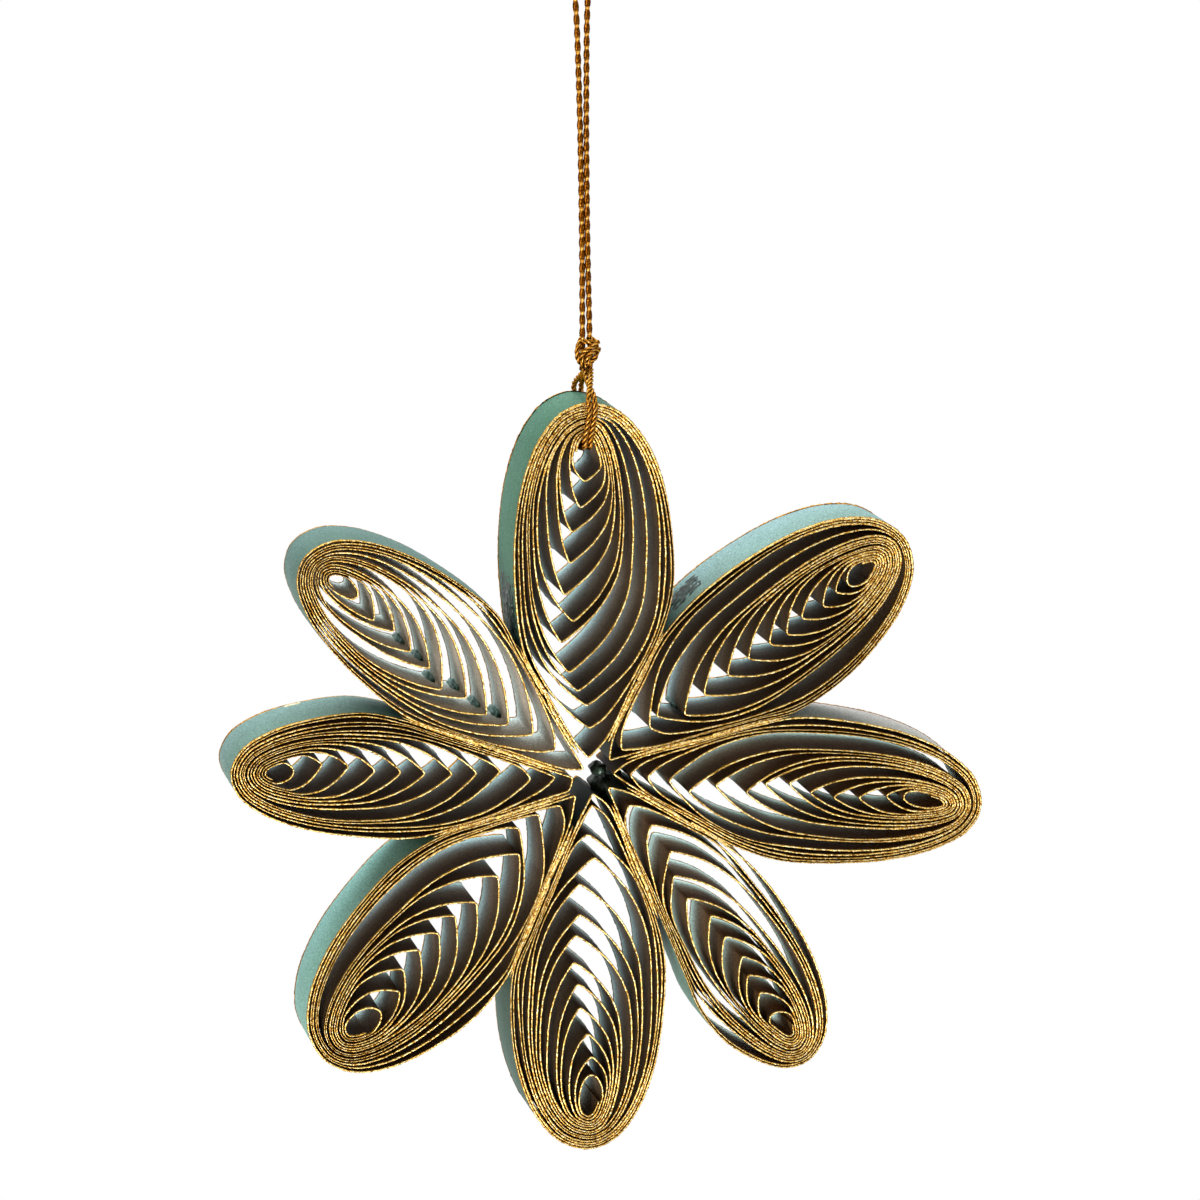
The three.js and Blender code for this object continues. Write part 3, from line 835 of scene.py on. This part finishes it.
def knot_mesh():
    """The turns of the two strands in the knot, with their cut ends at its upper right."""
    middle = in_top_petal(KNOT_ALONG, KNOT_ACROSS, 0)
    strands = [twisted_cord_mesh("knot_strand", smooth_through(middle + np.array(turn) * MM, KNOT_STEP),
                                 KNOT_CORD_RADIUS, SLING_PLIES, SLING_TWIST) for turn in KNOT_TURNS]
    return join_meshes("cord_knot_turns", strands)


def drop_mesh(name, at, half_sizes, lumps):
    """A lumpy drop of glue."""
    points, faces = [], []
    for i in range(DROP_ROWS + 1):
        for j in range(DROP_COLUMNS):
            a, b = math.pi * i / DROP_ROWS, 2 * math.pi * j / DROP_COLUMNS
            way = np.array([math.sin(a) * math.cos(b), math.sin(a) * math.sin(b), math.cos(a)])
            swell = 1 + lumps * (math.sin(5 * way[0] + 3 * way[2]) + math.sin(7 * way[1] - 4 * way[0])) / 2
            points.append(tuple(np.array(at) + way * np.array(half_sizes) * swell))
    for i in range(DROP_ROWS):
        for j in range(DROP_COLUMNS):
            a, b = i * DROP_COLUMNS + j, i * DROP_COLUMNS + (j + 1) % DROP_COLUMNS
            faces.append((a, a + DROP_COLUMNS, b + DROP_COLUMNS, b))
    return smooth_mesh(name, points, faces)


def film_mesh(name, line, near, length, low, high, thickness):
    """A lumpy film on a petal's outer wall around a place (x, z), between two depths."""
    normal = outward_normals(line)
    outer = np.nonzero(outermost_turn(line))[0]
    middle = outer[((line[outer] - np.array(near)) ** 2).sum(axis=1).argmin()]
    reach = int(length / 2 / STRIP_STEP)
    span = np.arange(max(0, middle - reach), min(len(line), middle + reach + 1))
    depths = np.linspace(low, high, max(6, int((high - low) / FILM_STEP)))
    lumps = rng.normal(0, FILM_LUMPS, (len(span), len(depths)))
    lumps = (lumps + np.roll(lumps, 1, 0) + np.roll(lumps, 1, 1) + np.roll(lumps, 1, (0, 1))) / 2
    u = np.linspace(-1, 1, len(span))[:, None]
    v = np.linspace(-1, 1, len(depths))[None, :]
    rise = np.clip((1 - u ** 2) * (1 - v ** 2) + lumps - FILM_DIP, -FILM_SUNK, 1) * thickness
    rise[[0, -1], :] = rise[:, [0, -1]] = -FILM_SUNK * thickness
    across = PAPER_HALF + rise
    points = np.stack([line[span, 0][:, None] + normal[span, 0][:, None] * across,
                       np.broadcast_to(depths, across.shape),
                       line[span, 1][:, None] + normal[span, 1][:, None] * across], axis=2)
    width = len(depths)
    faces = [(i * width + j, i * width + j + 1, (i + 1) * width + j + 1, (i + 1) * width + j)
             for i in range(len(span) - 1) for j in range(width - 1)]
    return smooth_mesh(name, points.reshape(-1, 3).tolist(), faces)


def add_petals(glue):
    """A strip for each petal and the glue between them; gives the strips' lines and pinches."""
    gilt = gilt_edge_material()
    lines, pinches = {}, {}
    for node in PETALS:
        middle = middle_line(outline_of(node))
        lines[node], pinches[node] = loosened(rounded_line(middle)), middle[pinches_of(middle)]
        mesh = strip_mesh(node + "_strip", lines[node], TIP_FILL[node])
        materials = [gilt, inner_paper_material(node), outer_paper_material(node)]
        add_piece(node + "_strip", mesh, materials, PAPER_SLOT, node)
    for node, following in zip(PETALS, PETALS[1:] + PETALS[:1]):
        name = "glue_right_of_" + node
        mesh = seam_mesh(name, *seam_between(lines[node], lines[following]))
        add_piece(name, mesh, [gilt, glue], PAPER_SLOT)
    return lines, pinches


def pinch_glue_mesh(name, pinches, nearest, furthest):
    """Runs of glue in the corners of a petal's pinches."""
    drops = []
    for pinch in pinches:
        outward = pinch - CENTRE_XZ
        reach = np.linalg.norm(outward)
        if nearest < reach < furthest:
            x, z = pinch + outward / reach * PINCH_DROP_OUT
            drops.append(drop_mesh(name, (x, PINCH_DROP_DEPTH, z), PINCH_DROP_HALF, PINCH_LUMPS))
    return join_meshes(name, drops)


def add_glue(lines, pinches, glue):
    """Dried glue on two walls, in the open centre, where dark drops also stand in for shade, and in the
    pinches, and a chip in one wall.
    """
    thin, chip = thin_glue_material(), chip_material()
    for name, (node, *sizes) in WALL_FILMS.items():
        x, z, length, low, high, thickness = [size * MM for size in sizes]
        mesh = film_mesh(name, lines[node], (x, z), length, low, high, thickness)
        add_piece(name, mesh, [chip if name.startswith("chip") else glue], PAPER_SLOT)
    name = "glue_and_shade_in_centre"
    drops = [drop_mesh(name, np.array(at) * MM, np.array(half) * MM, CENTRE_LUMPS)
             for at, half in CENTRE_GLUE_AND_SHADE_DROPS]
    add_piece(name, join_meshes(name, drops), [glue], PAPER_SLOT)
    for node, (nearest, furthest) in GLUED_PINCHES.items():
        name = "glue_in_" + node.removeprefix("petal_") + "_pinches"
        add_piece(name, pinch_glue_mesh(name, pinches[node], nearest, furthest), [thin], PAPER_SLOT)


def add_cord():
    """The cord from one strand of its sling over its loop to the other strand, and its knot."""
    material = cord_material()
    sling, loop, back_sling = cord_route()
    mesh = join_meshes("hanging_cord", [
        twisted_cord_mesh("sling", sling, CORD_RADIUS, SLING_PLIES, SLING_TWIST),
        twisted_cord_mesh("loop", loop, LOOP_RADIUS, LOOP_PLIES, LOOP_TWIST),
        twisted_cord_mesh("back_sling", back_sling, CORD_RADIUS, SLING_PLIES, SLING_TWIST)])
    cord = add_piece("hanging_cord", mesh, [material], CORD_SLOT,
                     "cord_hanging_loop", "cord_sling_left", "cord_sling_right")
    knot = add_piece("cord_knot_turns", knot_mesh(), [material], CORD_SLOT, "cord_knot")


def show_white(tree, lit, white, output):
    """White for what the camera and mirrored rays see, and the other shader for the light that falls."""
    path = tree.nodes.new("ShaderNodeLightPath")
    seen = path.outputs["Is Camera Ray"]
    for kind in ("Is Glossy Ray", "Is Transmission Ray"):
        either = tree.nodes.new("ShaderNodeMath")
        either.operation = "MAXIMUM"
        tree.links.new(seen, either.inputs[0])
        tree.links.new(path.outputs[kind], either.inputs[1])
        seen = either.outputs[0]
    mix = tree.nodes.new("ShaderNodeMixShader")
    tree.links.new(seen, mix.inputs["Fac"])
    tree.links.new(lit, mix.inputs[1])
    tree.links.new(white, mix.inputs[2])
    tree.links.new(mix.outputs["Shader"], tree.nodes[output].inputs["Surface"])


def add_floor():
    """A plain pale floor, white to the eye."""
    bpy.ops.mesh.primitive_plane_add(size=FLOOR_SIZE, location=(0, 0, FLOOR_HEIGHT))
    floor = bpy.context.object
    floor.name = "floor"
    material, tree, shader = new_material("floor_white")
    shader.inputs["Base Color"].default_value = (0.82, 0.82, 0.82, 1)
    shader.inputs["Roughness"].default_value = 0.9
    white = tree.nodes.new("ShaderNodeEmission")
    show_white(tree, shader.outputs["BSDF"], white.outputs["Emission"], "Material Output")
    floor.data.materials.append(material)


def add_world():
    """White to the eye all round; its light comes from the backdrop behind, and little from the front."""
    world = bpy.data.worlds.new("studio")
    bpy.context.scene.world = world
    world.use_nodes = True
    tree = world.node_tree
    way = tree.nodes.new("ShaderNodeTexCoord")
    parts = tree.nodes.new("ShaderNodeSeparateXYZ")
    tree.links.new(way.outputs["Generated"], parts.inputs["Vector"])
    behind = ramp_from(tree, parts.outputs["Y"], [(0.0, (0.025, 0.019, 0.013)), (0.35, (0.6, 0.72, 0.76))])
    fill = tree.nodes["Background"]
    tree.links.new(behind, fill.inputs["Color"])
    white = tree.nodes.new("ShaderNodeBackground")
    white.inputs["Color"].default_value = (1, 1, 1, 1)
    show_white(tree, fill.outputs["Background"], white.outputs["Background"], "World Output")


def add_lamp(name, offset, power, size, colour):
    """A soft square lamp that faces the flower's centre."""
    data = bpy.data.lights.new(name, "AREA")
    data.energy = power
    data.size = size
    data.color = colour
    lamp = bpy.data.objects.new(name, data)
    bpy.context.scene.collection.objects.link(lamp)
    lamp.location = Vector(FLOWER_CENTRE) + Vector(offset)
    lamp.rotation_mode = "QUATERNION"
    lamp.rotation_quaternion = (-Vector(offset)).to_track_quat("-Z", "Y")


def add_camera():
    """The photo's camera."""
    data = bpy.data.cameras.new("photo_camera")
    data.lens = CAMERA_LENS
    data.sensor_width = CAMERA_SENSOR
    data.clip_start = CAMERA_NEAR
    camera = bpy.data.objects.new("photo_camera", data)
    bpy.context.scene.collection.objects.link(camera)
    forward = (CAMERA_AIM - CAMERA_AT).normalized()
    level = forward.cross(Vector((0, 0, 1))).normalized()
    rise = level.cross(forward)
    right = level * math.cos(CAMERA_ROLL) + rise * math.sin(CAMERA_ROLL)
    up = rise * math.cos(CAMERA_ROLL) - level * math.sin(CAMERA_ROLL)
    turn = Matrix((right, up, -forward)).transposed().to_4x4()
    camera.matrix_world = Matrix.Translation(CAMERA_AT) @ turn
    bpy.context.scene.camera = camera


dark_glue = thick_glue_material()
add_glue(*add_petals(dark_glue), dark_glue)
add_cord()
add_floor()
add_world()
for lamp_name, lamp_values in LAMPS.items():
    add_lamp(lamp_name, *lamp_values)
add_camera()
bpy.context.scene.view_settings.view_transform = "Standard"
